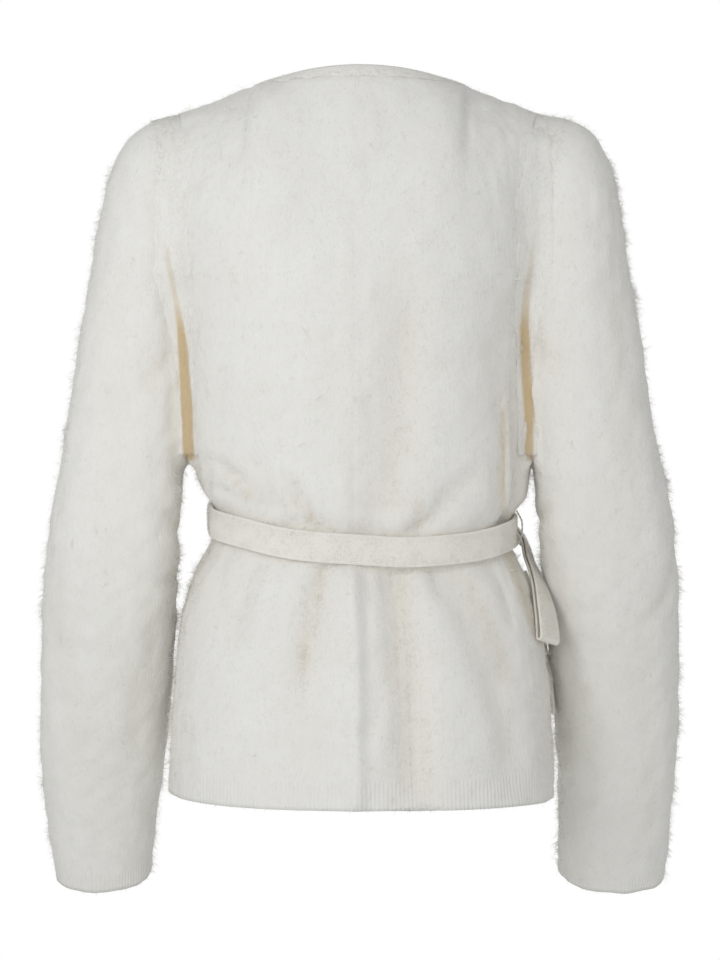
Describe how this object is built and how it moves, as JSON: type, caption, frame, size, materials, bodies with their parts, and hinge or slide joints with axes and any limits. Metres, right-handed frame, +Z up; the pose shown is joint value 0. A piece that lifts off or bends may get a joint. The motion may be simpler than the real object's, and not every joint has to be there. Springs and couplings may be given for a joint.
{
  "type": "wrap cardigan",
  "caption": "Long-sleeved wrap cardigan in brushed knit, filled out and hollow, with crossed fronts, an edge band and a tie belt bowed at one side.",
  "frame": {"origin": "the middle of the neck opening, level with the inner ends of the shoulder seams, where the wearer's shoulders hold the cardigan up", "axes": "+Z up, -Y out of the front, +X to the wearer's left"},
  "size_m": [0.5315, 0.2698, 0.6826],
  "materials": {
    "knit": "brushed, hairy off-white knit",
    "band": "plain off-white knit band",
    "belt": "plain off-white knit strap",
    "thread": "off-white thread"
  },
  "bodies": {
    "root": {"back": "knit", "front_left": "knit", "front_right": "knit", "sleeve_left": "knit", "sleeve_right": "knit", "band_left": "band", "band_right": "band", "band_neck": "band", "belt": "belt", "knot": "belt", "bow_loop_back": "belt", "bow_loop_front": "belt", "belt_end_long": "belt", "belt_end_short": "belt", "keeper_left": "thread", "keeper_right": "thread"}
  },
  "joints": []
}
